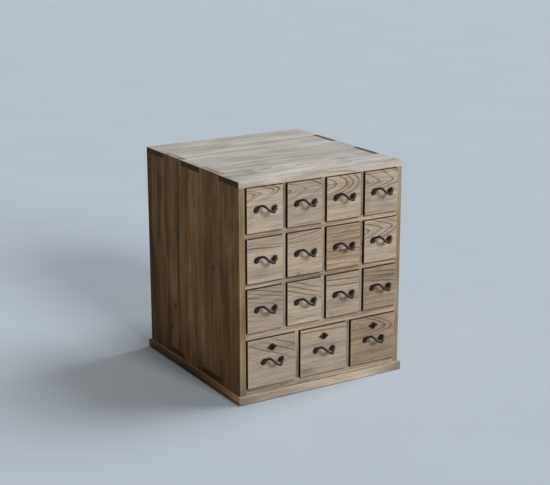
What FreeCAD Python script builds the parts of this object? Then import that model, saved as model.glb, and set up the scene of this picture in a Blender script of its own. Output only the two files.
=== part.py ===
import FreeCAD, Part
import Sketcher
import math
import os
import re

from FreeCAD import Placement, Rotation, Vector

# A small tabletop chest of fifteen drawers, in millimetres.
#
# The case is a finger-jointed box on a plinth. Three shelves housed in the sides carry the drawers,
# and upright dividers housed in the shelves part them: four drawers in each of the three upper rows
# (a, b and c) and three larger ones in the bottom row (d). Each drawer is a front with a tray behind it
# and a forged iron pull, and each large front has an iron plate above its pull.
#
# The origin is on the ground, in the middle of the space that the whole chest takes up with its pulls.
# +Z is up, +X is to the right and the drawers come out towards -Y.

# Driving sizes
SIZES = {
    # case
    "case_width": 400,
    "case_depth": 413,
    "side_thickness": 13.5,
    "top_thickness": 13,
    "bottom_thickness": 15,
    "small_opening_height": 94,
    "large_opening_height": 105,
    "upper_shelf_thickness": 11.5,
    "lower_shelf_thickness": 16,
    "upper_divider_thickness": 9,
    "lower_divider_thickness": 10,
    "shelf_housing": 4,
    "divider_housing": 3,
    "housing_stop": 12,
    "back_thickness": 7,
    "back_plank_gap": 0.3,
    # nails that hold the back
    "nail_diameter": 2.4,
    "nail_length": 28,
    "nail_head_diameter": 5.6,
    "nail_head_thickness": 1.2,
    "nail_spread": 84,
    "nail_fit": 0.05,
    # plinth
    "plinth_height": 19,
    "plinth_projection": 5,
    "plinth_rail_width": 32,
    # drawers
    "front_thickness": 15,
    "front_lap": 8,
    "front_proud": 6.5,
    "front_edge_round": 1.1,
    "side_clearance": 1,
    "head_clearance": 1,
    "running_clearance": 0.3,
    "back_clearance": 0.5,
    "tray_side_thickness": 7,
    "tray_back_thickness": 7,
    "tray_bottom_thickness": 5,
    "tray_side_drop": 3,
    # pulls
    "bar_diameter": 6.2,
    "foot_spacing": 42.6,
    "foot_diameter": 12.2,
    "foot_rim": 4.2,
    "foot_web": 2.4,
    "pull_lean": 2.6,
    "heel_out": 3,
    "heel_off": 3.4,
    "shoulder_half_width": 23.2,
    "shoulder_off": 3.8,
    "shoulder_rise": 7.4,
    "crest_half_width": 12.5,
    "crest_off": 17.6,
    "crest_rise": 9.2,
    "grip_half_width": 4.2,
    "grip_off": 25.9,
    "shoulder_bend": 8,
    "crest_bend": 14,
    "grip_bend": 8,
    "leg_diameter": 3.6,
    "leg_fit": 0.2,
    "clinch_length": 9,
    "clinch_thickness": 2,
    # lozenge plates
    "plate_width": 25.5,
    "plate_height": 17.5,
    "plate_thickness": 1.6,
    "plate_edge_bevel": 0.7,
    "plate_rise": 31,
    "plate_nail_diameter": 2.6,
    "plate_nail_length": 11,
    "plate_nail_head_diameter": 6.4,
    "plate_nail_head_height": 1.8,
    "plate_nail_fit": 0.1,
}

# Fingers along each corner of the case, counted over both boards
FINGERS = 5
# Drawers side by side in an upper row and in the bottom row
UPPER_COLUMNS = 4
LOWER_COLUMNS = 3
# Upright planks of the back
BACK_PLANKS = 3

doc = FreeCAD.newDocument("Chest")
sheet = doc.addObject("Spreadsheet::Sheet", "Sizes")
for line, (alias, value) in enumerate(SIZES.items(), start=1):
    sheet.set(f"A{line}", alias)
    sheet.set(f"B{line}", str(value))
    sheet.setAlias(f"B{line}", alias)
doc.recompute()


# Lengths and places worked out from the driving sizes, as formulas of the sheet
def formula(text):
    """Put the sheet's name in front of each size, so that sizes can be written by their names."""
    named = re.sub("[a-z_]+", lambda word: f"Sizes.{word[0]}" if word[0] in SIZES else word[0], text)
    return f"({named})"


def measure(text):
    """The value of a formula, as a plain number."""
    return float(sheet.evalExpression(formula(text)))


INNER_WIDTH = "(case_width - 2 * side_thickness)"
INNER_DEPTH = "(case_depth - back_thickness)"
SMALL_OPENING = f"(({INNER_WIDTH} - {UPPER_COLUMNS - 1} * upper_divider_thickness) / {UPPER_COLUMNS})"
LARGE_OPENING = f"(({INNER_WIDTH} - {LOWER_COLUMNS - 1} * lower_divider_thickness) / {LOWER_COLUMNS})"
FINGER = f"(case_depth / {FINGERS})"

# The front of the case stands back from the origin by what keeps the whole chest centred on it.
PULL_REACH = "(grip_off + bar_diameter / 2)"
FRONT = f"(0 - (case_depth + plinth_projection - front_proud - {PULL_REACH}) / 2)"
REAR = f"({FRONT} + case_depth)"

FLOOR_D = "(plinth_height + bottom_thickness)"
FLOOR_C = f"({FLOOR_D} + large_opening_height + lower_shelf_thickness)"
FLOOR_B = f"({FLOOR_C} + small_opening_height + upper_shelf_thickness)"
FLOOR_A = f"({FLOOR_B} + small_opening_height + upper_shelf_thickness)"
CEILING = f"({FLOOR_A} + small_opening_height)"
CASE_TOP = f"({CEILING} + top_thickness)"

DRAWER_LENGTH = f"(front_proud + {INNER_DEPTH} - back_clearance)"

# How far a cutting block reaches past the board that it cuts
OVER = "1"


def place(thing, x="0", y="0", z="0"):
    """Tie where a thing stands to formulas."""
    thing.setExpression("Placement.Base.x", formula(x))
    thing.setExpression("Placement.Base.y", formula(y))
    thing.setExpression("Placement.Base.z", formula(z))


def block(name, span_x, span_y, span_z):
    """A plain board or cutting block between two formulas along each axis."""
    thing = doc.addObject("Part::Box", name)
    for size, (low, high) in zip(("Length", "Width", "Height"), (span_x, span_y, span_z)):
        thing.setExpression(size, formula(f"({high}) - ({low})"))
    place(thing, span_x[0], span_y[0], span_z[0])
    return thing


def rod(name, radius, length, axis, x="0", y="0", z="0"):
    """A round bar that starts at a point and runs along the axis."""
    thing = doc.addObject("Part::Cylinder", name)
    thing.setExpression("Radius", formula(radius))
    thing.setExpression("Height", formula(length))
    thing.Placement = Placement(Vector(), Rotation(Vector(0, 0, 1), axis))
    place(thing, x, y, z)
    return thing


def group(name, things):
    """Several things as one, each still a solid of its own."""
    thing = doc.addObject("Part::Compound", name)
    thing.Links = things
    return thing


def cut(name, board, cutters):
    """A board with material taken away."""
    thing = doc.addObject("Part::Cut", name)
    thing.Base = board
    thing.Tool = group(f"{name}_cutters", cutters)
    return thing


def join(name, things):
    """Things forged or carved in one."""
    thing = doc.addObject("Part::MultiFuse", name)
    thing.Shapes = things
    return thing


def mirror(name, source, normal, base_y="0"):
    """A left piece seen as its right one, or a front piece as its back one."""
    thing = doc.addObject("Part::Mirroring", name)
    thing.Source = source
    thing.Normal = normal
    thing.setExpression("Base.y", formula(base_y))
    return thing


def copy(name, pattern, x, y, z):
    """One more of a piece that the chest has several of."""
    thing = group(name, [pattern])
    place(thing, x, y, z)
    return thing


def plane(body, role):
    """One of a body's own base planes."""
    return next(item for item in body.Origin.OriginFeatures if item.Role == role)


def outline(body, name, role, corners):
    """A closed outline of straight lines whose corners are tied to formulas."""
    sketch = body.newObject("Sketcher::SketchObject", name)
    sketch.AttachmentSupport = [(plane(body, role), "")]
    sketch.MapMode = "FlatFace"
    points = [Vector(measure(across), measure(up), 0) for across, up in corners]
    for start, end in zip(points, points[1:] + points[:1]):
        sketch.addGeometry(Part.LineSegment(start, end), False)
    for number, (across, up) in enumerate(corners):
        following = (number + 1) % len(corners)
        sketch.addConstraint(Sketcher.Constraint("Coincident", number, 2, following, 1))
        for kind, text in (("DistanceX", across), ("DistanceY", up)):
            if text == "0":
                axis = -2 if kind == "DistanceX" else -1
                sketch.addConstraint(Sketcher.Constraint("PointOnObject", number, 1, axis))
            else:
                tie = sketch.addConstraint(Sketcher.Constraint(kind, -1, 1, number, 1, measure(text)))
                sketch.setExpression(f"Constraints[{tie}]", formula(text))
    return sketch


def circles(body, name, role, centres, radius):
    """Circles of one radius whose centres are tied to formulas."""
    sketch = body.newObject("Sketcher::SketchObject", name)
    sketch.AttachmentSupport = [(plane(body, role), "")]
    sketch.MapMode = "FlatFace"
    for number, (across, up) in enumerate(centres):
        centre = Vector(measure(across), measure(up), 0)
        sketch.addGeometry(Part.Circle(centre, Vector(0, 0, 1), measure(radius)), False)
        tie = sketch.addConstraint(Sketcher.Constraint("Radius", number, measure(radius)))
        sketch.setExpression(f"Constraints[{tie}]", formula(radius))
        for kind, text in (("DistanceX", across), ("DistanceY", up)):
            if text == "0":
                axis = -2 if kind == "DistanceX" else -1
                sketch.addConstraint(Sketcher.Constraint("PointOnObject", number, 3, axis))
            else:
                tie = sketch.addConstraint(Sketcher.Constraint(kind, -1, 1, number, 3, measure(text)))
                sketch.setExpression(f"Constraints[{tie}]", formula(text))
    return sketch


def edges_on(feature, test):
    """Names of a feature's edges whose every vertex passes the test."""
    names = []
    for number, edge in enumerate(feature.Shape.Edges, start=1):
        if all(test(vertex.Point) for vertex in edge.Vertexes):
            names.append(f"Edge{number}")
    return names


# Where the boards of the case meet
LEFT_FACE = "(0 - case_width / 2)"
RIGHT_FACE = "(case_width / 2)"
LEFT_INSIDE = f"(0 - {INNER_WIDTH} / 2)"
RIGHT_INSIDE = f"({INNER_WIDTH} / 2)"
BACK_INSIDE = f"({FRONT} + {INNER_DEPTH})"
STOP = f"({FRONT} + housing_stop)"
PAST_REAR = f"({REAR} + {OVER})"

# Fingers of the top board are the first, third and fifth; the bottom board has the second and fourth.
TOP_FINGERS = range(0, FINGERS, 2)
BOTTOM_FINGERS = range(1, FINGERS, 2)


def finger(number):
    """Where one finger along a corner of the case starts and ends, front to back."""
    return (f"{FRONT} + {number} * {FINGER}", f"{FRONT} + {number + 1} * {FINGER}")


def divider_spans(columns, opening, thickness):
    """Where the dividers of a row stand, left to right."""
    spans = []
    for number in range(1, columns):
        low = f"{LEFT_INSIDE} + {number} * {opening} + {number - 1} * {thickness}"
        spans.append((low, f"{low} + {thickness}"))
    return spans


UPPER_DIVIDERS = divider_spans(UPPER_COLUMNS, SMALL_OPENING, "upper_divider_thickness")
LOWER_DIVIDERS = divider_spans(LOWER_COLUMNS, LARGE_OPENING, "lower_divider_thickness")


def end_notches(name, fingers, low, high):
    """Cutting blocks that leave room for the other board's fingers at both ends of a board."""
    blocks = []
    for number in fingers:
        span = finger(number)
        left = (f"{LEFT_FACE} - {OVER}", LEFT_INSIDE)
        right = (RIGHT_INSIDE, f"{RIGHT_FACE} + {OVER}")
        blocks.append(block(f"{name}_left_notch_{number}", left, span, (low, high)))
        blocks.append(block(f"{name}_right_notch_{number}", right, span, (low, high)))
    return blocks


def divider_housings(name, spans, low, high):
    """Cutting blocks for the stopped housings that the ends of a row of dividers slide into."""
    return [
        block(f"{name}_housing_{number}", span, (STOP, PAST_REAR), (low, high))
        for number, span in enumerate(spans, start=1)
    ]


# Top and bottom boards
top_blank = block("top_blank", (LEFT_FACE, RIGHT_FACE), (FRONT, REAR), (CEILING, CASE_TOP))
top_cutters = end_notches("top", BOTTOM_FINGERS, f"{CEILING} - {OVER}", f"{CASE_TOP} + {OVER}")
top_cutters += divider_housings("top", UPPER_DIVIDERS, f"{CEILING} - {OVER}", f"{CEILING} + divider_housing")
top_board = cut("top_board", top_blank, top_cutters)

bottom_blank = block("bottom_blank", (LEFT_FACE, RIGHT_FACE), (FRONT, REAR), ("plinth_height", FLOOR_D))
bottom_cutters = end_notches("bottom", TOP_FINGERS, f"plinth_height - {OVER}", f"{FLOOR_D} + {OVER}")
bottom_cutters += divider_housings(
    "bottom", LOWER_DIVIDERS, f"{FLOOR_D} - divider_housing", f"{FLOOR_D} + {OVER}"
)
bottom_board = cut("bottom_board", bottom_blank, bottom_cutters)

# Shelves, from the lowest up: name, underside, upper face
SHELVES = [
    ("lower_shelf", f"({FLOOR_D} + large_opening_height)", FLOOR_C),
    ("middle_shelf", f"({FLOOR_C} + small_opening_height)", FLOOR_B),
    ("upper_shelf", f"({FLOOR_B} + small_opening_height)", FLOOR_A),
]

# Sides
side_blank = block("side_blank", (LEFT_FACE, LEFT_INSIDE), (FRONT, REAR), ("plinth_height", CASE_TOP))
side_cutters = []
side_span = (f"{LEFT_FACE} - {OVER}", f"{LEFT_INSIDE} + {OVER}")
for number in TOP_FINGERS:
    span = (CEILING, f"{CASE_TOP} + {OVER}")
    side_cutters.append(block(f"side_top_notch_{number}", side_span, finger(number), span))
for number in BOTTOM_FINGERS:
    span = (f"plinth_height - {OVER}", FLOOR_D)
    side_cutters.append(block(f"side_bottom_notch_{number}", side_span, finger(number), span))
for name, low, high in SHELVES:
    span = (f"{LEFT_INSIDE} - shelf_housing", f"{LEFT_INSIDE} + {OVER}")
    side_cutters.append(block(f"side_{name}_housing", span, (STOP, PAST_REAR), (low, high)))
left_side = cut("left_side", side_blank, side_cutters)
right_side = mirror("right_side", left_side, Vector(1, 0, 0))

# One nail of the back, pointing to the front, and the hole that it sits in
nail_shank = rod("nail_shank", "nail_diameter / 2", "nail_length", Vector(0, -1, 0))
nail_head = rod("nail_head", "nail_head_diameter / 2", "nail_head_thickness", Vector(0, 1, 0))
nail = join("nail", [nail_shank, nail_head])
nail_hole = rod(
    "nail_hole", "nail_diameter / 2 + nail_fit", f"{OVER} + nail_length + nail_fit", Vector(0, -1, 0), y=OVER
)

# Back planks, with two nails in each plank at each shelf
PLANK = f"(({INNER_WIDTH} - {BACK_PLANKS - 1} * back_plank_gap) / {BACK_PLANKS})"
planks = []
back_nail_list = []
back_holes = []
shelf_holes = {name: [] for name, low, high in SHELVES}
for number in range(BACK_PLANKS):
    low = f"{LEFT_INSIDE} + {number} * ({PLANK} + back_plank_gap)"
    planks.append(
        block(f"plank_{number + 1}", (low, f"{low} + {PLANK}"), (BACK_INSIDE, REAR), (FLOOR_D, CEILING))
    )
    for shelf, under, over in SHELVES:
        for side, sign in (("left", "-"), ("right", "+")):
            spot = (f"{low} + {PLANK} / 2 {sign} nail_spread / 2", REAR, f"({under} + {over}) / 2")
            spot_name = f"{shelf}_{number + 1}_{side}"
            back_nail_list.append(copy(f"nail_{spot_name}", nail, *spot))
            hole = copy(f"hole_{spot_name}", nail_hole, *spot)
            back_holes.append(hole)
            shelf_holes[shelf].append(hole)
back_boards = cut("back_boards", group("back_planks", planks), back_holes)
back_nails = group("back_nails", back_nail_list)


def shelf(name, low, high, below, above):
    """A shelf with stopped ends, housings for the dividers below and above, and its nail holes."""
    whole = (f"{LEFT_INSIDE} - shelf_housing", f"{RIGHT_INSIDE} + shelf_housing")
    blank = block(f"{name}_blank", whole, (FRONT, BACK_INSIDE), (low, high))
    stop_span = (f"{FRONT} - {OVER}", STOP)
    stop_height = (f"{low} - {OVER}", f"{high} + {OVER}")
    left = (f"{whole[0]} - {OVER}", LEFT_INSIDE)
    right = (RIGHT_INSIDE, f"{whole[1]} + {OVER}")
    cutters = [
        block(f"{name}_left_stop", left, stop_span, stop_height),
        block(f"{name}_right_stop", right, stop_span, stop_height),
    ]
    cutters += divider_housings(f"{name}_under", below, f"{low} - {OVER}", f"{low} + divider_housing")
    cutters += divider_housings(f"{name}_over", above, f"{high} - divider_housing", f"{high} + {OVER}")
    return cut(name, blank, cutters + shelf_holes[name])


shelf_dividers = {
    "lower_shelf": (LOWER_DIVIDERS, UPPER_DIVIDERS),
    "middle_shelf": (UPPER_DIVIDERS, UPPER_DIVIDERS),
    "upper_shelf": (UPPER_DIVIDERS, UPPER_DIVIDERS),
}
shelves = [shelf(name, low, high, *shelf_dividers[name]) for name, low, high in SHELVES]


def dividers(row, spans, floor, opening_height):
    """The upright boards of a row, housed at top and bottom, with stopped ends in front."""
    made = []
    for number, span in enumerate(spans, start=1):
        name = f"divider_{row}{number}"
        foot = f"{floor} - divider_housing"
        head = f"{floor} + {opening_height} + divider_housing"
        blank = block(f"{name}_blank", span, (FRONT, BACK_INSIDE), (foot, head))
        wide = (f"{span[0]} - {OVER}", f"{span[1]} + {OVER}")
        stop_span = (f"{FRONT} - {OVER}", STOP)
        cutters = [
            block(f"{name}_foot_stop", wide, stop_span, (f"{foot} - {OVER}", floor)),
            block(f"{name}_head_stop", wide, stop_span, (f"{floor} + {opening_height}", f"{head} + {OVER}")),
        ]
        made.append(cut(name, blank, cutters))
    return made


UPPER_ROWS = [("a", FLOOR_A), ("b", FLOOR_B), ("c", FLOOR_C)]
upper_boards = []
for row, floor in UPPER_ROWS:
    upper_boards += dividers(row, UPPER_DIVIDERS, floor, "small_opening_height")
upper_dividers = group("upper_dividers", upper_boards)
lower_dividers = group("lower_dividers", dividers("d", LOWER_DIVIDERS, FLOOR_D, "large_opening_height"))


def pad(body, name, sketch, length):
    """A sketch made solid, tied to a formula."""
    feature = body.newObject("PartDesign::Pad", name)
    feature.Profile = sketch
    feature.setExpression("Length", formula(length))
    return feature


# Plinth: four mitred rails
PLINTH_LEFT = f"({LEFT_FACE} - plinth_projection)"
PLINTH_RIGHT = f"({RIGHT_FACE} + plinth_projection)"
PLINTH_FRONT = f"({FRONT} - plinth_projection)"
PLINTH_REAR = f"({REAR} + plinth_projection)"

front_rail = doc.addObject("PartDesign::Body", "plinth_front_rail")
front_rail_outline = outline(front_rail, "front_rail_outline", "XY_Plane", [
    (PLINTH_LEFT, PLINTH_FRONT),
    (PLINTH_RIGHT, PLINTH_FRONT),
    (f"{PLINTH_RIGHT} - plinth_rail_width", f"{PLINTH_FRONT} + plinth_rail_width"),
    (f"{PLINTH_LEFT} + plinth_rail_width", f"{PLINTH_FRONT} + plinth_rail_width"),
])
pad(front_rail, "front_rail_pad", front_rail_outline, "plinth_height")

side_rail = doc.addObject("PartDesign::Body", "plinth_left_rail")
side_rail_outline = outline(side_rail, "side_rail_outline", "XY_Plane", [
    (PLINTH_LEFT, PLINTH_FRONT),
    (f"{PLINTH_LEFT} + plinth_rail_width", f"{PLINTH_FRONT} + plinth_rail_width"),
    (f"{PLINTH_LEFT} + plinth_rail_width", f"{PLINTH_REAR} - plinth_rail_width"),
    (PLINTH_LEFT, PLINTH_REAR),
])
pad(side_rail, "side_rail_pad", side_rail_outline, "plinth_height")

rear_rail = mirror("plinth_rear_rail", front_rail, Vector(0, 1, 0), f"{FRONT} + case_depth / 2")
right_rail = mirror("plinth_right_rail", side_rail, Vector(1, 0, 0))
plinth = group("plinth", [front_rail, rear_rail, side_rail, right_rail])


# Drawers. Each is drawn with its front's lower edge on the origin, facing -Y.
HALF_FEET = "(foot_spacing / 2)"
FOOT_ACROSS = f"({HALF_FEET} * cos(pull_lean))"
FOOT_LIFT = f"({HALF_FEET} * sin(pull_lean))"


def pocket(body, name, sketch, depth=None):
    """A sketch cut away, right through, or to a depth from the front face inwards."""
    feature = body.newObject("PartDesign::Pocket", name)
    feature.Profile = sketch
    if depth is None:
        feature.Type = "ThroughAll"
        feature.Midplane = True
    else:
        feature.setExpression("Length", formula(depth))
    return feature


def drawer_front(name, width, height, with_plate):
    """A front with rounded front edges, rabbets for the tray behind it and holes for its ironwork."""
    body = doc.addObject("PartDesign::Body", name)
    half = f"({width} / 2)"
    inside = f"({half} - tray_side_thickness)"
    plan = outline(body, f"{name}_plan", "XY_Plane", [
        (f"0 - {half}", "0"),
        (half, "0"),
        (half, "front_lap"),
        (inside, "front_lap"),
        (inside, "front_thickness"),
        (f"0 - {inside}", "front_thickness"),
        (f"0 - {inside}", "front_lap"),
        (f"0 - {half}", "front_lap"),
    ])
    board = pad(body, f"{name}_board", plan, height)
    doc.recompute()

    rounded = body.newObject("PartDesign::Fillet", f"{name}_round")
    rounded.Base = (board, edges_on(board, lambda point: abs(point.y) < 1e-6))
    rounded.setExpression("Radius", formula("front_edge_round"))

    rabbet = outline(body, f"{name}_rabbet_outline", "YZ_Plane", [
        ("front_lap", f"0 - {OVER}"),
        (f"front_thickness + {OVER}", f"0 - {OVER}"),
        (f"front_thickness + {OVER}", "tray_bottom_thickness"),
        ("front_lap", "tray_bottom_thickness"),
    ])
    pocket(body, f"{name}_rabbet", rabbet)

    middle = f"({height} / 2)"
    centres = [
        (f"0 - {FOOT_ACROSS}", f"{middle} + {FOOT_LIFT}"),
        (FOOT_ACROSS, f"{middle} - {FOOT_LIFT}"),
    ]
    leg_circles = circles(body, f"{name}_leg_circles", "XZ_Plane", centres, "leg_diameter / 2 + leg_fit")
    pocket(body, f"{name}_leg_holes", leg_circles)

    if with_plate:
        spot = [("0", f"{middle} + plate_rise")]
        radius = "plate_nail_diameter / 2 + plate_nail_fit"
        nail_circle = circles(body, f"{name}_nail_circle", "XZ_Plane", spot, radius)
        depth = "plate_nail_length - plate_thickness + plate_nail_fit"
        pocket(body, f"{name}_nail_hole", nail_circle, depth)
    return body


def tray(name, width, height):
    """The box of a drawer behind its front: two sides, a back between them and a bottom below."""
    half = f"({width} / 2)"
    inside = f"({half} - tray_side_thickness)"
    depth = ("front_lap", DRAWER_LENGTH)
    rise = ("tray_bottom_thickness", f"{height} - tray_side_drop")
    back = (f"{DRAWER_LENGTH} - tray_back_thickness", DRAWER_LENGTH)
    return group(name, [
        block(f"{name}_left", (f"0 - {half}", f"0 - {inside}"), depth, rise),
        block(f"{name}_right", (inside, half), depth, rise),
        block(f"{name}_back", (f"0 - {inside}", inside), back, rise),
        block(f"{name}_bottom", (f"0 - {half}", half), depth, ("0", "tray_bottom_thickness")),
    ])


# Pull: a forged bar on two flattened round feet. Each foot's leg goes through the front and is clinched.
def rounded_path(corners, radii):
    """Straight runs from corner to corner, joined by tangent arcs."""
    edges = []
    start = corners[0]
    for before, corner, after, radius in zip(corners, corners[1:], corners[2:], radii):
        back = (before - corner).normalize()
        onward = (after - corner).normalize()
        half_angle = back.getAngle(onward) / 2
        bisector = (back + onward).normalize()
        first = corner + back * (radius / math.tan(half_angle))
        last = corner + onward * (radius / math.tan(half_angle))
        middle = corner + bisector * (radius / math.sin(half_angle) - radius)
        edges.append(Part.LineSegment(start, first).toShape())
        edges.append(Part.Arc(first, middle, last).toShape())
        start = last
    edges.append(Part.LineSegment(start, corners[-1]).toShape())
    return Part.Wire(edges)


HEEL_ACROSS = f"({HALF_FEET} + heel_out)"
half_corners = [
    (HEEL_ACROSS, "heel_off", "0"),
    ("shoulder_half_width", "shoulder_off", "shoulder_rise"),
    ("crest_half_width", "crest_off", "crest_rise"),
    ("grip_half_width", "grip_off", "0"),
]
right_corners = [
    Vector(measure(across), -measure(off), measure(rise)) for across, off, rise in half_corners
]
left_corners = [Vector(-corner.x, corner.y, corner.z) for corner in reversed(right_corners)]
half_bends = [measure("shoulder_bend"), measure("crest_bend"), measure("grip_bend")]
bar_path = rounded_path(right_corners + left_corners, half_bends + half_bends[::-1])
bar_section = Part.Circle(
    right_corners[0], right_corners[1] - right_corners[0], measure("bar_diameter / 2")
).toShape()
bar = doc.addObject("Part::Feature", "bar")
bar.Shape = bar_path.makePipeShell([Part.Wire(bar_section)], True, False)
print("bar volume over section times length", bar.Shape.Volume / (
    math.pi * measure("bar_diameter / 2") ** 2 * bar_path.Length
))

OUTWARDS = Vector(0, -1, 0)
INWARDS = Vector(0, 1, 0)
pull_pieces = [bar]
for side, sign in (("left", "0 -"), ("right", "0 +")):
    across = f"{sign} {HALF_FEET}"
    web = rod(f"{side}_foot_web", "(foot_diameter - foot_rim) / 2", "foot_web", OUTWARDS, across)
    rim = doc.addObject("Part::Torus", f"{side}_foot_rim")
    rim.setExpression("Radius1", formula("(foot_diameter - foot_rim) / 2"))
    rim.setExpression("Radius2", formula("foot_rim / 2"))
    rim.Placement = Placement(Vector(), Rotation(Vector(0, 0, 1), OUTWARDS))
    place(rim, across, "0 - foot_rim / 2")
    heel = doc.addObject("Part::Sphere", f"{side}_heel")
    heel.setExpression("Radius", formula("bar_diameter / 2"))
    place(heel, f"{sign} {HEEL_ACROSS}", "0 - heel_off")
    leg_length = f"{OVER} + front_thickness + clinch_thickness"
    leg = rod(f"{side}_leg", "leg_diameter / 2", leg_length, INWARDS, across, f"0 - {OVER}")
    clinch_ends = [across, f"{sign} ({HALF_FEET} - clinch_length)"]
    if side == "right":
        clinch_ends.reverse()
    clinch = block(
        f"{side}_clinch",
        tuple(clinch_ends),
        ("front_thickness", "front_thickness + clinch_thickness"),
        ("0 - leg_diameter / 2", "leg_diameter / 2"),
    )
    pull_pieces += [web, rim, heel, leg, clinch]
pull = join("pull", pull_pieces)
pull.Placement = Placement(Vector(), Rotation(Vector(0, 1, 0), measure("pull_lean")))
pull.setExpression("Placement.Rotation.Angle", formula("pull_lean"))


# Lozenge plate and the round-headed nail that holds it
lozenge = doc.addObject("PartDesign::Body", "lozenge")
lozenge_outline = outline(lozenge, "lozenge_outline", "XZ_Plane", [
    ("0 - plate_width / 2", "0"),
    ("0", "0 - plate_height / 2"),
    ("plate_width / 2", "0"),
    ("0", "plate_height / 2"),
])
lozenge_pad = pad(lozenge, "lozenge_pad", lozenge_outline, "plate_thickness")
doc.recompute()
plate_face = lozenge_pad.Shape.BoundBox.YMin
lozenge_bevel = lozenge.newObject("PartDesign::Chamfer", "lozenge_bevel")
lozenge_bevel.Base = (lozenge_pad, edges_on(lozenge_pad, lambda point: abs(point.y - plate_face) < 1e-6))
lozenge_bevel.setExpression("Size", formula("plate_edge_bevel"))
lozenge_hole_circle = circles(
    lozenge, "lozenge_hole_circle", "XZ_Plane", [("0", "0")], "plate_nail_diameter / 2 + plate_nail_fit"
)
pocket(lozenge, "lozenge_hole", lozenge_hole_circle)

# The nail's head is a cap of a ball.
CAP_RADIUS = "(plate_nail_head_diameter / 2)"
BALL_RADIUS = (
    f"(({CAP_RADIUS} * {CAP_RADIUS} + plate_nail_head_height * plate_nail_head_height)"
    " / (2 * plate_nail_head_height))"
)
ball = doc.addObject("Part::Sphere", "plate_nail_ball")
ball.setExpression("Radius", formula(BALL_RADIUS))
place(ball, y=f"{BALL_RADIUS} - plate_nail_head_height - plate_thickness")
cap_block = block(
    "plate_nail_cap_block",
    (f"0 - {CAP_RADIUS} - {OVER}", f"{CAP_RADIUS} + {OVER}"),
    (f"0 - plate_thickness - plate_nail_head_height - {OVER}", "0 - plate_thickness"),
    (f"0 - {CAP_RADIUS} - {OVER}", f"{CAP_RADIUS} + {OVER}"),
)
cap = doc.addObject("Part::Common", "plate_nail_cap")
cap.Base = ball
cap.Tool = cap_block
plate_nail_shank = rod(
    "plate_nail_shank", "plate_nail_diameter / 2", "plate_nail_length", INWARDS, y="0 - plate_thickness"
)
plate = group("plate", [lozenge, join("plate_nail", [cap, plate_nail_shank])])

# Patterns of the two sizes of drawer
SMALL_WIDTH = f"({SMALL_OPENING} - 2 * side_clearance)"
SMALL_HEIGHT = "(small_opening_height - running_clearance - head_clearance)"
LARGE_WIDTH = f"({LARGE_OPENING} - 2 * side_clearance)"
LARGE_HEIGHT = "(large_opening_height - running_clearance - head_clearance)"

small_front = drawer_front("small_front", SMALL_WIDTH, SMALL_HEIGHT, with_plate=False)
small_tray = tray("small_tray", SMALL_WIDTH, SMALL_HEIGHT)
large_front = drawer_front("large_front", LARGE_WIDTH, LARGE_HEIGHT, with_plate=True)
large_tray = tray("large_tray", LARGE_WIDTH, LARGE_HEIGHT)

# Rows from the top down: name, columns, opening, divider, floor, height of a front, front, tray
ROWS = [
    ("a", UPPER_COLUMNS, SMALL_OPENING, "upper_divider_thickness", FLOOR_A, SMALL_HEIGHT, small_front, small_tray),
    ("b", UPPER_COLUMNS, SMALL_OPENING, "upper_divider_thickness", FLOOR_B, SMALL_HEIGHT, small_front, small_tray),
    ("c", UPPER_COLUMNS, SMALL_OPENING, "upper_divider_thickness", FLOOR_C, SMALL_HEIGHT, small_front, small_tray),
    ("d", LOWER_COLUMNS, LARGE_OPENING, "lower_divider_thickness", FLOOR_D, LARGE_HEIGHT, large_front, large_tray),
]

drawer_pieces = []
for row, columns, opening, divider, floor, height, front, row_tray in ROWS:
    for column in range(columns):
        x = f"({column - (columns - 1) / 2}) * ({opening} + {divider})"
        y = f"{FRONT} - front_proud"
        z = f"{floor} + running_clearance"
        tag = f"{row}{column + 1}"
        drawer_pieces.append(copy(f"front_{tag}", front, x, y, z))
        drawer_pieces.append(copy(f"tray_{tag}", row_tray, x, y, z))
        drawer_pieces.append(copy(f"pull_{tag}", pull, x, y, f"{z} + {height} / 2"))
        if row == "d":
            drawer_pieces.append(copy(f"plate_{tag}", plate, x, y, f"{z} + {height} / 2 + plate_rise"))

NODES = [
    top_board,
    bottom_board,
    left_side,
    right_side,
    back_boards,
    back_nails,
    *shelves,
    upper_dividers,
    lower_dividers,
    plinth,
    *drawer_pieces,
]

doc.recompute()

for thing in doc.Objects:
    if "Invalid" in thing.State or "Error" in thing.State:
        raise RuntimeError(f"{thing.Name} did not come out: {thing.State}")
for node in NODES:
    node.Label = node.Name
    if node.Shape.isNull() or not node.Shape.isValid():
        raise RuntimeError(f"{node.Label} has no valid shape")

os.makedirs("parts", exist_ok=True)
for node in NODES:
    node.Shape.exportStep(f"parts/{node.Label}.step")
    print(node.Label, len(node.Shape.Solids), "solid(s),", round(node.Shape.Volume / 1000, 2), "cm3")
print(len(NODES), "nodes")
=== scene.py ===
# %% [markdown]
# # A tabletop chest of drawers in old wood and forged iron
# The chest is already built in CAD, board by board, and this lesson dresses it. Each board is cut from a
# tree of its own, so that every face shows the growth rings that a saw would have laid open there. The
# ironwork gets the uneven skin that a hammer leaves.

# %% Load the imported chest
import math

import bmesh
import bpy
from mathutils import Matrix, Vector, noise


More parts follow.
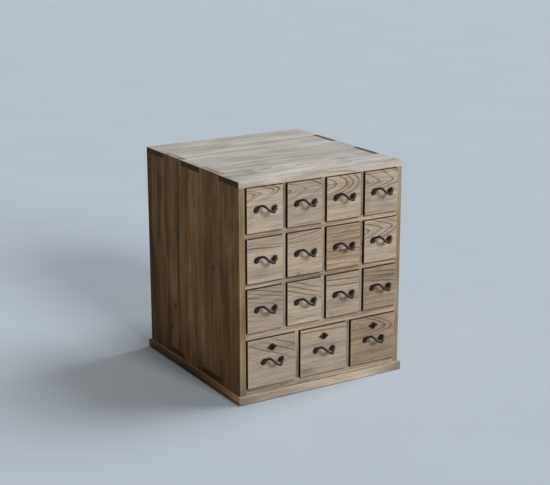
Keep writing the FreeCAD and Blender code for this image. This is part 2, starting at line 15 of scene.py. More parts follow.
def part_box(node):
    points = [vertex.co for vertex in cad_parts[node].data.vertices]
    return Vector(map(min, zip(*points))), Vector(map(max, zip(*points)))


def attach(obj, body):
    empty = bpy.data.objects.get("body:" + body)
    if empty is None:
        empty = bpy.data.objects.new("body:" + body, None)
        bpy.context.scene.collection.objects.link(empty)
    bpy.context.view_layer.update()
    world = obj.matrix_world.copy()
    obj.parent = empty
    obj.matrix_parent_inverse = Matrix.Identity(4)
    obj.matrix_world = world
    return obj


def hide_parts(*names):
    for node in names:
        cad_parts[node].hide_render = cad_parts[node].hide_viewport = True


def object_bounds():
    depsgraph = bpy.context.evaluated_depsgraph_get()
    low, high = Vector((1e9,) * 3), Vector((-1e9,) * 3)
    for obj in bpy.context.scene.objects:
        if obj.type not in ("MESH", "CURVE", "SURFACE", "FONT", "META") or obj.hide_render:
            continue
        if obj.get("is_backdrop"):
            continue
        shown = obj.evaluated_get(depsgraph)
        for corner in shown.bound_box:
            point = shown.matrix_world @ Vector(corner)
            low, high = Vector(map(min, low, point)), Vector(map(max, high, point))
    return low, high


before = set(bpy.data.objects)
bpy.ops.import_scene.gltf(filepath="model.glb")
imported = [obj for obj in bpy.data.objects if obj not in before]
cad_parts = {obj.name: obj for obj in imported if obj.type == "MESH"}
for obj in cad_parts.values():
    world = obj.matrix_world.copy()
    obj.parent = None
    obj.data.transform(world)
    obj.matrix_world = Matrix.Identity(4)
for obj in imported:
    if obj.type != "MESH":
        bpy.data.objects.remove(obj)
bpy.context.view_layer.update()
scene = bpy.context.scene
scene.view_settings.view_transform = "Standard"

# %% [markdown]
# ## The camera
# The photograph was taken from the left of the chest's front, a little above it and from about three
# metres away. A camera can be moved by hand until the edges match, or worked out from the corners of the
# case. Here it was worked out, so only its place, the point it looks at and its lens are written down.

# %% Camera
CAMERA_PLACE = Vector((-1.4521, -2.3911, 1.0657))
CAMERA_TARGET = Vector((0.0, 0.0, 0.2747))
CAMERA_ROLL = math.radians(-0.094)
LENS_LENGTH = 86.2
SENSOR_WIDTH = 36

camera_data = bpy.data.cameras.new("camera")
camera_data.lens = LENS_LENGTH
camera_data.sensor_width = SENSOR_WIDTH
camera = bpy.data.objects.new("camera", camera_data)
scene.collection.objects.link(camera)
facing = (CAMERA_TARGET - CAMERA_PLACE).to_track_quat("-Z", "Y").to_matrix().to_4x4()
camera.matrix_world = Matrix.Translation(CAMERA_PLACE) @ facing @ Matrix.Rotation(CAMERA_ROLL, 4, "Z")
scene.camera = camera
print("The camera is", round((CAMERA_TARGET - CAMERA_PLACE).length, 2), "metres from its target")

# %% [markdown]
# ## Writing materials as sums
# A node material can be clicked together in the editor, which is quick for one and slow for fifty. A
# small helper writes the nodes from Python instead. Each of its functions adds one node, takes numbers
# or the outputs of other nodes, and gives back its own output, so a pattern reads like a formula.

# %% A helper for node materials
# The numbers of a Mix node's sockets, where it mixes two colours
MIX_SHARE, MIX_FIRST, MIX_SECOND, MIX_RESULT = 0, 6, 7, 2


class Graph:
    """The nodes of a material or of the world."""

    def __init__(self, owner):
        self.owner = owner
        owner.use_nodes = True
        self.tree = owner.node_tree
        self.tree.nodes.clear()

    def node(self, kind, inputs=(), **settings):
        made = self.tree.nodes.new(kind)
        for key, value in settings.items():
            setattr(made, key, value)
        for key, value in dict(inputs).items():
            if isinstance(value, bpy.types.NodeSocket):
                self.tree.links.new(value, made.inputs[key])
            else:
                made.inputs[key].default_value = value
        return made

    def math(self, operation, *values):
        return self.node("ShaderNodeMath", enumerate(values), operation=operation).outputs[0]

    def vector(self, operation, *values):
        made = self.node("ShaderNodeVectorMath", enumerate(values), operation=operation)
        return made.outputs["Value" if operation in ("LENGTH", "DOT_PRODUCT") else "Vector"]

    def split(self, point):
        return self.node("ShaderNodeSeparateXYZ", {0: point}).outputs

    def point(self, x, y, z):
        return self.node("ShaderNodeCombineXYZ", {0: x, 1: y, 2: z}).outputs[0]

    def noise(self, point, stretch, detail=2.0, roughness=0.5, colour=False):
        """Soft noise whose lumps are one over stretch long."""
        inputs = {"Vector": self.vector("MULTIPLY", point, stretch), "Scale": 1.0, "Detail": detail}
        inputs["Roughness"] = roughness
        return self.node("ShaderNodeTexNoise", inputs).outputs[1 if colour else 0]

    def ramp(self, value, low, high, to_low=0.0, to_high=1.0):
        """A smooth step from to_low to to_high while value goes from low to high."""
        inputs = {0: value, 1: low, 2: high, 3: to_low, 4: to_high}
        return self.node("ShaderNodeMapRange", inputs, interpolation_type="SMOOTHSTEP").outputs[0]

    def blend(self, share, first, second, how="MIX"):
        """Colours mixed by a share from 0 to 1."""
        made = self.node("ShaderNodeMix", data_type="RGBA", blend_type=how)
        for index, value in ((MIX_SHARE, share), (MIX_FIRST, first), (MIX_SECOND, second)):
            if isinstance(value, bpy.types.NodeSocket):
                self.tree.links.new(value, made.inputs[index])
            else:
                made.inputs[index].default_value = value if index == MIX_SHARE else (*value, 1.0)
        return made.outputs[MIX_RESULT]

    def finish(self, colour, roughness, height, relief, metallic=0.0, specular=0.5):
        """The surface itself. Relief is in metres for each unit of height."""
        bump = self.node("ShaderNodeBump", {"Height": height, "Distance": relief}).outputs[0]
        inputs = {"Base Color": colour, "Roughness": roughness, "Normal": bump, "Metallic": metallic}
        inputs["Specular IOR Level"] = specular
        surface = self.node("ShaderNodeBsdfPrincipled", inputs).outputs[0]
        self.node("ShaderNodeOutputMaterial", {"Surface": surface})
        return self.owner


def times(factor, parts):
    """Each part of a colour or of a distance, times the same factor."""
    return [factor * part for part in parts]


print("Materials are written as sums of nodes")

# %% [markdown]
# ## The floor
# The chest stands on a plain pale floor that is wide enough to fill the picture. Real floors throw a lot
# of light back, and here that would fill the chest's shaded side, which is deep brown in the photograph.
# A darker floor would keep the shade, but it would also look darker than the photograph's. So the floor
# has two colours: one where it is looked at, and a darker one for the light that bounces off it.

# %% Floor
FLOOR_COLOUR = (0.395, 0.452, 0.51)
FLOOR_BOUNCE = (0.20, 0.18, 0.165)
FLOOR_MOTTLE = 0.05
FLOOR_ROUGHNESS = 0.8
FLOOR_RELIEF = 0.0005
FLOOR_REACH = 30.0


def seen_directly(g):
    """One where a surface is looked at, or seen in a reflection or through glass, and zero elsewhere."""
    rays = g.node("ShaderNodeLightPath").outputs
    seen = g.math("MAXIMUM", rays["Is Camera Ray"], rays["Is Glossy Ray"])
    return g.math("MAXIMUM", seen, rays["Is Transmission Ray"])


def pale_floor():
    """The floor's material, with a faint mottle."""
    g = Graph(bpy.data.materials.new("pale_floor"))
    mottle = g.noise(g.node("ShaderNodeTexCoord").outputs["Object"], (3, 3, 3), 3.0)
    darker, paler = times(1 - FLOOR_MOTTLE, FLOOR_COLOUR), times(1 + FLOOR_MOTTLE, FLOOR_COLOUR)
    seen = g.blend(mottle, darker, paler)
    colour = g.blend(seen_directly(g), FLOOR_BOUNCE, seen)
    return g.finish(colour, FLOOR_ROUGHNESS, mottle, FLOOR_RELIEF)


corners = [(FLOOR_REACH * x, FLOOR_REACH * y, 0) for x, y in ((-1, -1), (1, -1), (1, 1), (-1, 1))]
floor_mesh = bpy.data.meshes.new("floor")
floor_mesh.from_pydata(corners, [], [(0, 1, 2, 3)])
floor_mesh.materials.append(pale_floor())
floor = bpy.data.objects.new("floor", floor_mesh)
scene.collection.objects.link(floor)
floor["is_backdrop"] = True
print("The floor is", 2 * FLOOR_REACH, "metres wide")

# %% [markdown]
# ## The light
# The main light is broad and comes from the front, a little to the right and above, which leaves the left
# side in its own shade and lays a soft shadow below each pull. A second one fills in from above. Area
# lamps would fade across the chest, so these are sun lamps, whose light is even, and the angle that each
# fills in the sky sets how soft its shadows are. The world adds a little warm light, and where it is seen
# past the floor's far edge it has the floor's own tone, so that no horizon shows.

# %% Lamps and world
WORLD_LIGHT = (0.150, 0.128, 0.112)
HORIZON_PALER = 1.14


def lamp(name, azimuth, elevation, softness, strength, colour):
    """A sun, with its direction in degrees seen from the chest's front."""
    data = bpy.data.lights.new(name, "SUN")
    data.angle = math.radians(softness)
    data.energy = strength
    data.color = colour
    made = bpy.data.objects.new(name, data)
    a, e = math.radians(azimuth), math.radians(elevation)
    source = Vector((math.sin(a) * math.cos(e), -math.cos(a) * math.cos(e), math.sin(e)))
    made.rotation_mode = "QUATERNION"
    made.rotation_quaternion = source.to_track_quat("Z", "Y")
    scene.collection.objects.link(made)
    return made


lamps = [
    lamp("main_light", 5, 24, 20, 2.74, (1.0, 0.99, 0.97)),
    lamp("upper_light", 80, 48, 34, 2.62, (0.97, 0.985, 1.0)),
]
world = bpy.data.worlds.new("soft_surroundings")
scene.world = world
room = Graph(world)
room_colour = room.blend(seen_directly(room), WORLD_LIGHT, times(HORIZON_PALER, FLOOR_COLOUR))
background = room.node("ShaderNodeBackground", {"Color": room_colour, "Strength": 1.0})
room.node("ShaderNodeOutputWorld", {"Surface": background.outputs[0]})
print(len(lamps), "lamps light the chest")

# %% [markdown]
# ## A point in its board
# Flat pictures of wood repeat, and never agree where two faces of a board meet. A pattern in space does
# both, if it knows how each board lies. So every point is first told as three distances from the board's
# middle: along the grain, across it and into the board. Some nodes hold several like boards, such as the
# planks of the back, and there each board gets a middle and a number of its own.

# %% Where a point lies in its board
MILLIMETRES = 1000.0


def half_size(node):
    """Half the width, depth and height of a node, in millimetres."""
    low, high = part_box(node)
    return MILLIMETRES * (high - low) / 2


def apart(first, second, axis):
    """How far one piece lies from another along an axis, in millimetres."""
    return MILLIMETRES * abs(getattr(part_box(second)[0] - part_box(first)[0], axis))


def from_centre(g, node):
    """A point in millimetres from the centre of its node."""
    low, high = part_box(node)
    place = g.node("ShaderNodeTexCoord").outputs["Object"]
    return g.vector("MULTIPLY", g.vector("SUBTRACT", place, (low + high) / 2), (MILLIMETRES,) * 3)


def in_order(g, point, grain):
    """The parts of a point, in the order in which grain names the axes."""
    parts = g.split(point)
    return g.point(*(parts["xyz".index(axis)] for axis in grain))


def board_point(g, local, grain, cells, turned):
    """A point along, across and into its board, and the board's number in its node. Cells are the
    distances between like boards, and turned is a mask of the boards that are laid crosswise."""
    pitch = [cells.get(axis, 0) for axis in "xyz"]
    number = g.vector("MULTIPLY", local, [1 / p if p else 0 for p in pitch])
    number = g.vector("FLOOR", g.vector("ADD", number, (0.5, 0.5, 0.5)))
    local = g.vector("SUBTRACT", local, g.vector("MULTIPLY", number, pitch))
    point = in_order(g, local, grain)
    if turned:
        along, across, depth = g.split(point)
        point = g.blend(turned(g, local), point, g.point(across, along, depth))
    return point, in_order(g, number, grain)


def oval(g, point, along, across, length, width):
    """A soft oval patch on a board, one in its middle and fading to zero."""
    offset = g.vector("SUBTRACT", point, (along, across, 0))
    scaled = g.vector("MULTIPLY", offset, (1 / length, 1 / width, 0))
    return g.math("EXPONENT", g.math("MULTIPLY", g.vector("DOT_PRODUCT", scaled, scaled), -1.0))


print("Half a front measures", [round(size, 2) for size in half_size("front_a1")], "millimetres")

# %% [markdown]
# ## Growth rings
# A board is a flat cut through a stack of cones, because a tree lays down a sleeve of wood each year. So
# each board is placed in a tree: the heart runs along the board near its face, it leans, and the sleeves
# taper. The taper and the lean bend straight stripes into the pointed arches on the drawers. The distance
# from the heart, with some noise in it, is all that a pattern of rings needs.

# %% The tree
# Distances are in millimetres
TREE = {
    "heart": (0, 0),  # where the heart passes the board's middle, across the board and into it
    "lean": (0, 0),  # how fast it moves across and inwards along the board
    "taper": 0.0,  # how fast the sleeves get narrower along the board
    "fade": 400.0,  # how far from the heart the taper is down to half
    "skew": 0.0,  # how much wider the sleeves are on one side of the heart
    "spacing": 4.0,  # how thick a year's sleeve is
    "waver": 6.0,  # how far slow noise bends the rings
    "ripple": 1.8,  # how far quick noise bends them
    "weakest": 0.15,  # the palest that a year's line can be
    "strongest": 1.0,  # the darkest that it can be
    "bold": (),  # points along and across the face through which a full dark line passes
    "knots": (),  # knots, each with its place along and across and its size
}
SLOW_NOISE = (0.012, 0.022, 0.022)
QUICK_NOISE = (0.045, 0.09, 0.09)


def bent(g, point, drift, tree):
    """A point pushed about by noise, because no tree grows quite round."""
    for reach, stretch in ((tree["waver"], SLOW_NOISE), (tree["ripple"], QUICK_NOISE)):
        push = g.vector("SUBTRACT", g.noise(drift, stretch, colour=True), (0.5, 0.5, 0.5))
        point = g.vector("ADD", point, g.vector("MULTIPLY", push, (2 * reach,) * 3))
    return point


def radius_in_nodes(g, point, tree):
    """The distance from the heart, with the taper and the skew in it."""
    along, across, depth = g.split(point)
    (heart_across, heart_depth), (lean_across, lean_depth) = tree["heart"], tree["lean"]
    sideways = g.math("SUBTRACT", across, g.math("MULTIPLY_ADD", along, lean_across, heart_across))
    inwards = g.math("SUBTRACT", depth, g.math("MULTIPLY_ADD", along, lean_depth, heart_depth))
    radius = g.vector("LENGTH", g.point(sideways, inwards, 0.0))
    radius = g.math("MULTIPLY_ADD", sideways, tree["skew"], radius)
    faded = g.math("POWER", g.math("DIVIDE", sideways, tree["fade"]), 2.0)
    arched = g.math("DIVIDE", g.math("MULTIPLY", along, tree["taper"]), g.math("ADD", faded, 1.0))
    return g.math("ADD", radius, arched)


def radius_in_numbers(tree, along, across, depth):
    """The same distance for one known point of the board."""
    (heart_across, heart_depth), (lean_across, lean_depth) = tree["heart"], tree["lean"]
    sideways = across - lean_across * along - heart_across
    inwards = depth - lean_depth * along - heart_depth
    arched = tree["taper"] * along / (1 + (sideways / tree["fade"]) ** 2)
    return math.hypot(sideways, inwards) + tree["skew"] * sideways + arched


print("A tree is told by", ", ".join(TREE))

# %% [markdown]
# ## The lines of the years
# A year's wood starts pale and ends in a dark line. Some years leave a hard line and others hardly any,
# so each draws a strength of its own, by its number. The few lines that catch the eye on a drawer aren't
# left to luck: they are told by a point that they pass through. A knot pushes the rings round it aside.

# %% Ring lines
YEAR_DARKENS = (0.4, 0.88)
YEAR_ENDS = (0.92, 1.0)
LUCK = (0.15, 0.95)
BOLD_DARKENS = (-2.7, -0.4)
BOLD_ENDS = (0.3, 1.3)
YEARS_BETWEEN_SEEDS = 7.0
# How far a knot pushes the rings along and across, and how high, for each millimetre of its size
KNOT_LENGTH, KNOT_WIDTH, KNOT_PUSH = 2.6, 1.5, 1.3


def ring_lines(g, radius, tree, face_depth):
    """How dark the line of each year is, from 0 to 1."""
    years = g.math("DIVIDE", radius, tree["spacing"])
    part_of_year = g.math("FRACT", years)
    year = g.math("ADD", g.math("FLOOR", years), tree["seed"] * YEARS_BETWEEN_SEEDS)
    luck = g.node("ShaderNodeTexWhiteNoise", {"W": year}, noise_dimensions="1D").outputs["Value"]
    strength = g.ramp(luck, *LUCK, tree["weakest"], tree["strongest"])
    rise, fall = g.ramp(part_of_year, *YEAR_DARKENS), g.ramp(part_of_year, *YEAR_ENDS, 1.0, 0.0)
    lines = g.math("MULTIPLY", g.math("MULTIPLY", rise, fall), strength)
    for along, across in tree["bold"]:
        from_line = g.math("SUBTRACT", radius, radius_in_numbers(tree, along, across, face_depth))
        rise, fall = g.ramp(from_line, *BOLD_DARKENS), g.ramp(from_line, *BOLD_ENDS, 1.0, 0.0)
        lines = g.math("MAXIMUM", lines, g.math("MULTIPLY", rise, fall))
    return lines


def growth_rings(g, point, drift, tree, face_depth):
    """The ring lines of a board whose face lies face_depth from its middle."""
    radius = radius_in_nodes(g, bent(g, point, drift, tree), tree)
    for along, across, size in tree["knots"]:
        pushed = oval(g, point, along, across, KNOT_LENGTH * size, KNOT_WIDTH * size)
        radius = g.math("MULTIPLY_ADD", pushed, KNOT_PUSH * size, radius)
    return ring_lines(g, radius, tree, face_depth)


print("A year's line takes", round(YEAR_ENDS[1] - YEAR_DARKENS[0], 2), "of its width")

# %% [markdown]
# ## The timbers
# The chest is made of several boards' worth of wood that aged in different ways: bleached on top, oiled
# dark on the sides, pale or brown on the fronts, and raw inside. Each timber is four colours: its early
# wood, its late wood in the ring lines, the grey bloom where it dried out, and its end grain.

# %% Timbers
TIMBERS = {
    "pale": {"early": (0.43, 0.358, 0.28), "late": (0.125, 0.08, 0.046), "dry": (0.39, 0.345, 0.295),
             "end": (0.13, 0.09, 0.058)},
    "lined": {"early": (0.35, 0.268, 0.185), "late": (0.10, 0.058, 0.03), "dry": (0.31, 0.25, 0.185),
              "end": (0.11, 0.07, 0.042)},
    "brown": {"early": (0.31, 0.236, 0.172), "late": (0.11, 0.066, 0.04), "dry": (0.29, 0.236, 0.182),
              "end": (0.10, 0.066, 0.042)},
    "top": {"early": (0.40, 0.37, 0.34), "late": (0.20, 0.168, 0.14), "dry": (0.465, 0.462, 0.455),
            "end": (0.13, 0.085, 0.05)},
    "side": {"early": (0.345, 0.213, 0.107), "late": (0.11, 0.055, 0.024), "dry": (0.455, 0.34, 0.21),
             "end": (0.11, 0.08, 0.06)},
    "case": {"early": (0.33, 0.27, 0.205), "late": (0.15, 0.10, 0.064), "dry": (0.33, 0.29, 0.24),
             "end": (0.13, 0.08, 0.045)},
    "inside": {"early": (0.42, 0.33, 0.225), "late": (0.25, 0.17, 0.10), "dry": (0.38, 0.32, 0.25),
               "end": (0.26, 0.18, 0.11)},
}
print(len(TIMBERS), "timbers:", ", ".join(TIMBERS))

# %% [markdown]
# ## Layers of wear
# The wood has been oiled and handled for decades. Its look is laid up in layers, as it came about: the
# rings, the streaks of its fibres, short dark pores, cloudy patches where it dried out, stains, end grain
# that drank more oil, and edges that hands have rubbed pale. One picture of noise couldn't do all of
# this, because each layer has its own size along the grain and across it.

# %% Layers of the wood
WEAR = {
    "tint": 1.0,  # how pale the board is, compared with its timber
    "hard": 0.9,  # how dark its rings are
    "calm": 1.0,  # what is left of them in the lower half of its face
    "streaky": 1.0,  # how strong its fibres are
    "banded": 1.0,  # how strong the wider streaks and bands are
    "broad": 1.0,  # how wide the streaks are
    "rubbed": 0.35,  # how pale its edges are rubbed
    "sheen": 0.2,  # how much it mirrors
    "end": None,  # the colour of its end grain, where that isn't the timber's own
    "stains": (),  # soft dark ovals: place along and across, length, width and darkness
    "tints": (),  # masks, each with the colour that multiplies the wood inside it
    "cells": {},  # the distances between like boards in one node
    "turned": None,  # a mask of the boards in the node that are laid crosswise
}
# Lumps for each millimetre along the grain, across it and into the board
FIBRE = (0.016, 0.7, 0.7)
STREAK = (0.005, 0.11, 0.11)
BAND = (0.004, 0.035, 0.035)
CLOUD = (0.010, 0.026, 0.026)
PORE = (0.09, 1.3, 1.3)
MOTTLE = (0.3, 0.8, 0.8)
# How far apart, in millimetres, two trees and two boards of one node lie in the noise
TREE_STEP = (211.3, 97.7, 61.9)
BOARD_STEP = (171.0, 171.0, 171.0)


def wood_layers(g, drift, broad):
    """The layers of noise that the wood is made of."""
    return {
        "fibre": g.noise(drift, FIBRE, 5.0, 0.65),
        "streak": g.noise(drift, times(1 / broad, STREAK), 3.0, 0.6),
        "band": g.noise(drift, BAND),
        "cloud": g.noise(drift, CLOUD, 3.0, 0.55),
        "pores": g.ramp(g.noise(drift, PORE, 1.0), 0.6, 0.72),
        "mottle": g.noise(drift, MOTTLE, 3.0, 0.6),
    }


print("The finish of a board is told by", ", ".join(WEAR))

# %% [markdown]
# ## From layers to darkness
# Three numbers come out of the layers: how much ring line a point has, how pale or dark its wood is, and
# how far its edge has been rubbed. A stain is a soft oval whose outline is made ragged by the wood's own
# mottle, which looks more like a spill than a clean shape would. The rubbed edges follow from the board's
# size, so no edge has to be picked by hand.

# %% Darkness, tone and worn edges
DARKEST = 0.12
# How much darker and paler the parts of each layer are
FIBRE_TONES = (-0.19, 0.14)
STREAK_TONES = (-0.12, 0.1)
BAND_TONES = (-0.1, 0.08)
PORE_TONE, KNOT_TONE = -0.28, -0.6
# Where along a layer's noise its darkest and its palest tone lie
FIBRE_SPAN, STREAK_SPAN, BAND_SPAN = (0.3, 0.7), (0.35, 0.65), (0.38, 0.62)
RING_SPAN, FAINT_RING = (0.2, 0.7), 0.6
CALM_HEIGHTS = (-30.0, 5.0)
SPOT_LENGTH, SPOT_WIDTH = 1.2, 0.7
RAGGED_ACROSS, RAGGED_ALONG = 3.0, 3.0
EDGE_REACH, EDGE_RAGGED = (0.4, 2.0), 3.0


def ring_darkness(g, point, drift, layers, tree, wear, face_depth):
    """How much of the late wood's colour each point has."""
    rings = growth_rings(g, point, drift, tree, face_depth)
    dark = g.math("MULTIPLY", rings, g.ramp(layers["mottle"], *RING_SPAN, FAINT_RING, 1.0))
    dark = g.math("MULTIPLY", dark, wear["hard"])
    return g.math("MULTIPLY", dark, g.ramp(g.split(point)[1], *CALM_HEIGHTS, wear["calm"], 1.0))


def wood_tone(g, point, layers, tree, wear):
    """How pale each point is, from its fibres, streaks, bands, pores, stains and knots."""
    darker, paler = times(wear["streaky"], FIBRE_TONES)
    tone = g.ramp(layers["fibre"], *FIBRE_SPAN, 1 + darker, 1 + paler)
    streaks = g.ramp(layers["streak"], *STREAK_SPAN, *times(wear["banded"], STREAK_TONES))
    bands = g.ramp(layers["band"], *BAND_SPAN, *times(wear["banded"], BAND_TONES))
    tone = g.math("ADD", g.math("ADD", tone, streaks), bands)
    tone = g.math("MULTIPLY_ADD", layers["pores"], PORE_TONE, tone)
    shake = g.math("MULTIPLY_ADD", layers["mottle"], 2 * RAGGED_ACROSS, -RAGGED_ACROSS)
    ragged = g.vector("ADD", point, g.point(g.math("MULTIPLY", shake, RAGGED_ALONG), shake, 0.0))
    for along, across, length, width, darkness in wear["stains"]:
        stain = oval(g, ragged, along, across, length, width)
        tone = g.math("MULTIPLY_ADD", stain, -darkness, tone)
    for along, across, size in tree["knots"]:
        knot = oval(g, point, along, across, SPOT_LENGTH * size, SPOT_WIDTH * size)
        tone = g.math("MULTIPLY_ADD", knot, KNOT_TONE, tone)
    return g.math("MULTIPLY", g.math("MAXIMUM", tone, DARKEST), wear["tint"])


def rubbed_edges(g, point, half, mottle, rubbed):
    """How pale each point is rubbed, by its distance from the nearest edge: of the distances to the
    board's three pairs of faces, that is the middle one."""
    inset = g.split(g.vector("SUBTRACT", half, g.vector("ABSOLUTE", point)))
    nearer = g.math("MINIMUM", inset[0], inset[1])
    further = g.math("MAXIMUM", inset[0], inset[1])
    to_edge = g.math("MAXIMUM", nearer, g.math("MINIMUM", further, inset[2]))
    to_edge = g.math("MULTIPLY_ADD", g.math("SUBTRACT", mottle, 0.5), EDGE_RAGGED, to_edge)
    return g.ramp(to_edge, *EDGE_REACH, rubbed, 0.0)


print("Stains leave at least", DARKEST, "of a timber's colour")

# %% [markdown]
# ## The finish of a board
# Now the layers are put together. Colour alone would look printed, so the same layers that colour the
# wood drive its roughness and its bumps: what looks like a pore also catches the light.

# %% Old wood
WOOD_RELIEF = 0.00025
WOOD_ROUGHNESS = (0.55, 0.75)
DRY_SPAN, DRIEST = (0.4, 0.7), 0.7
RUBBED_PALER, RUBBED_BLOOM = 1.15, 0.02
FACING_ALONG = (0.5, 0.9)
# How far each layer stands up or, where it is below zero, sinks in
FIBRE_HEIGHT, MOTTLE_HEIGHT, PORE_HEIGHT, RING_HEIGHT = 0.6, 0.3, -0.5, 0.3


def old_wood(node, grain, timber, tree, wear):
    """Old oiled wood for a CAD node. Grain names the axes along it, across it and into the board."""
    g = Graph(bpy.data.materials.new(f"{node}_wood"))
    colours = TIMBERS[timber]
    half = [getattr(half_size(node), axis) - wear["cells"].get(axis, 0) for axis in grain]
    local, normal = from_centre(g, node), g.node("ShaderNodeTexCoord").outputs["Normal"]
    point, number = board_point(g, local, grain, wear["cells"], wear["turned"])
    drift = g.vector("ADD", point, times(tree["seed"], TREE_STEP))
    drift = g.vector("ADD", drift, g.vector("MULTIPLY", number, BOARD_STEP))
    layers = wood_layers(g, drift, wear["broad"])
    fibre, pores, mottle = layers["fibre"], layers["pores"], layers["mottle"]
    dark = ring_darkness(g, point, drift, layers, tree, wear, -half[2])
    tone = wood_tone(g, point, layers, tree, wear)
    on_end = g.ramp(g.math("ABSOLUTE", g.split(normal)["xyz".index(grain[0])]), *FACING_ALONG)
    worn = rubbed_edges(g, point, half, mottle, wear["rubbed"])
    colour = g.blend(dark, colours["early"], colours["late"])
    colour = g.blend(g.ramp(layers["cloud"], *DRY_SPAN, 0.0, DRIEST), colour, colours["dry"])
    colour = g.blend(on_end, colour, wear["end"] or colours["end"])
    colour = g.blend(1.0, colour, g.point(tone, tone, tone), "MULTIPLY")
    colour = g.blend(worn, colour, [RUBBED_PALER * part + RUBBED_BLOOM for part in colours["early"]])
    for mask, shade in wear["tints"]:
        colour = g.blend(1.0, colour, g.blend(mask(g, local, normal), (1.0, 1.0, 1.0), shade), "MULTIPLY")
    roughness = g.ramp(g.math("MULTIPLY_ADD", dark, -0.3, mottle), 0.2, 0.8, *WOOD_ROUGHNESS)
    height = g.math("MULTIPLY_ADD", fibre, FIBRE_HEIGHT, g.math("MULTIPLY", mottle, MOTTLE_HEIGHT))
    height = g.math("MULTIPLY_ADD", pores, PORE_HEIGHT, height)
    height = g.math("MULTIPLY_ADD", dark, RING_HEIGHT, height)
    return g.finish(colour, roughness, height, WOOD_RELIEF, specular=wear["sheen"])


print("The wood's relief is", MILLIMETRES * WOOD_RELIEF, "millimetres for each unit of height")

# %% [markdown]
# ## Softened edges
# No arris of an old chest is sharp. New meshes could be modelled with round edges, but the CAD boards
# have to keep their exact shape, so a stack of modifiers rounds only what is seen: the doubled points are
# joined, flat faces are merged, the edges are bevelled by about half a millimetre, and the shading is
# evened out over the small new faces.

# %% Worn arrises
SAME_POINT = 1e-6
STILL_FLAT = math.radians(1)
SHARP_EDGE = math.radians(35)
CASE_ARRIS = 0.0006
FRONT_ARRIS = 0.0005
TRAY_ARRIS = 0.0004
IRON_ARRIS = 0.00015


def soften(node, width):
    """Round the edges of a CAD node by a width in metres."""
    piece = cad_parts[node]
    weld = piece.modifiers.new("join_points", "WELD")
    weld.merge_threshold = SAME_POINT
    flats = piece.modifiers.new("merge_flats", "DECIMATE")
    flats.decimate_type = "DISSOLVE"
    flats.angle_limit = STILL_FLAT
    bevel = piece.modifiers.new("worn_arris", "BEVEL")
    bevel.width = width
    bevel.segments = 2
    bevel.limit_method = "ANGLE"
    bevel.angle_limit = SHARP_EDGE
    even = piece.modifiers.new("even_shading", "WEIGHTED_NORMAL")
    even.keep_sharp = False


def dress(node, material, arris):
    """Give a CAD node its finish and its worn edges."""
    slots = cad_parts[node].data.materials
    slots.clear()
    slots.append(material)
    soften(node, arris)


def dress_board(node, grain, timber, tree, arris=CASE_ARRIS, **wear):
    """Make a CAD node of old wood."""
    dress(node, old_wood(node, grain, timber, {**TREE, **tree}, {**WEAR, **wear}), arris)
    print(node, "is dressed in", timber, "wood")


# %% [markdown]
# ## Masks
# Parts of a board look different from the rest: its front edge has seen more light, and dark lines of
# painted shade lie along some joints. A picture could be painted for each board, but the place of a
# point and the direction that its surface faces are enough to find such a part. A mask is a number
# worked out from them, one inside and zero outside, and each mask is a small function that the wood's
# material calls.

# %% Masks by direction
FORWARDS = (-0.9, -0.5)
UPWARDS = (0.5, 0.9)


def facing_front(g, local, normal):
    """One on the faces that look forwards, and zero on the others."""
    return g.ramp(g.split(normal)[1], *FORWARDS, 1.0, 0.0)


def facing_aside(g, local, normal):
    """One on all faces but those that look forwards."""
    return g.ramp(g.split(normal)[1], *FORWARDS)


print("A face looks forwards when its normal is past", FORWARDS[0], "along y")

# %% [markdown]
# ## The top
# The top is one wide board with its grain from side to side, bleached nearly grey by the light. What
# stood on it has left spots and scratches. They could be painted on a picture, but a few soft ovals, each
# with a place, a size and a darkness in millimetres, do the same and stay sharp at any distance. The
# fingers of its joints show end grain at the left, which is dark because it drank more oil.

# %% The top board
TOP_TREE = {"seed": 1, "heart": (-130, -80), "lean": (0.02, 0.0), "spacing": 9, "waver": 9, "taper": 0.05}
TOP_WEAR = {"streaky": 0.9, "banded": 0.9, "broad": 1.8, "hard": 0.7, "sheen": 0.1}
TOP_STAINS = [
    (-90, -88, 60, 5, 0.22), (65, 8, 130, 6, 0.22), (-60, -30, 110, 9, 0.12), (-54, -128, 7, 3, 0.45),
    (-14, -131, 7, 3, 0.45), (17, -132, 6, 3, 0.4), (-92, -192, 6, 3, 0.4), (-150, 150, 60, 30, 0.12),
    (-185, -170, 25, 40, 0.2), (-196, 0, 6, 200, 0.25), (0, -165, 300, 36, -0.16),
]
dress_board(
    "top_board", "xyz", "top", TOP_TREE, stains=TOP_STAINS, end=(0.105, 0.056, 0.024),
    tints=[(facing_front, (1.12, 1.08, 1.02))], **TOP_WEAR,
)
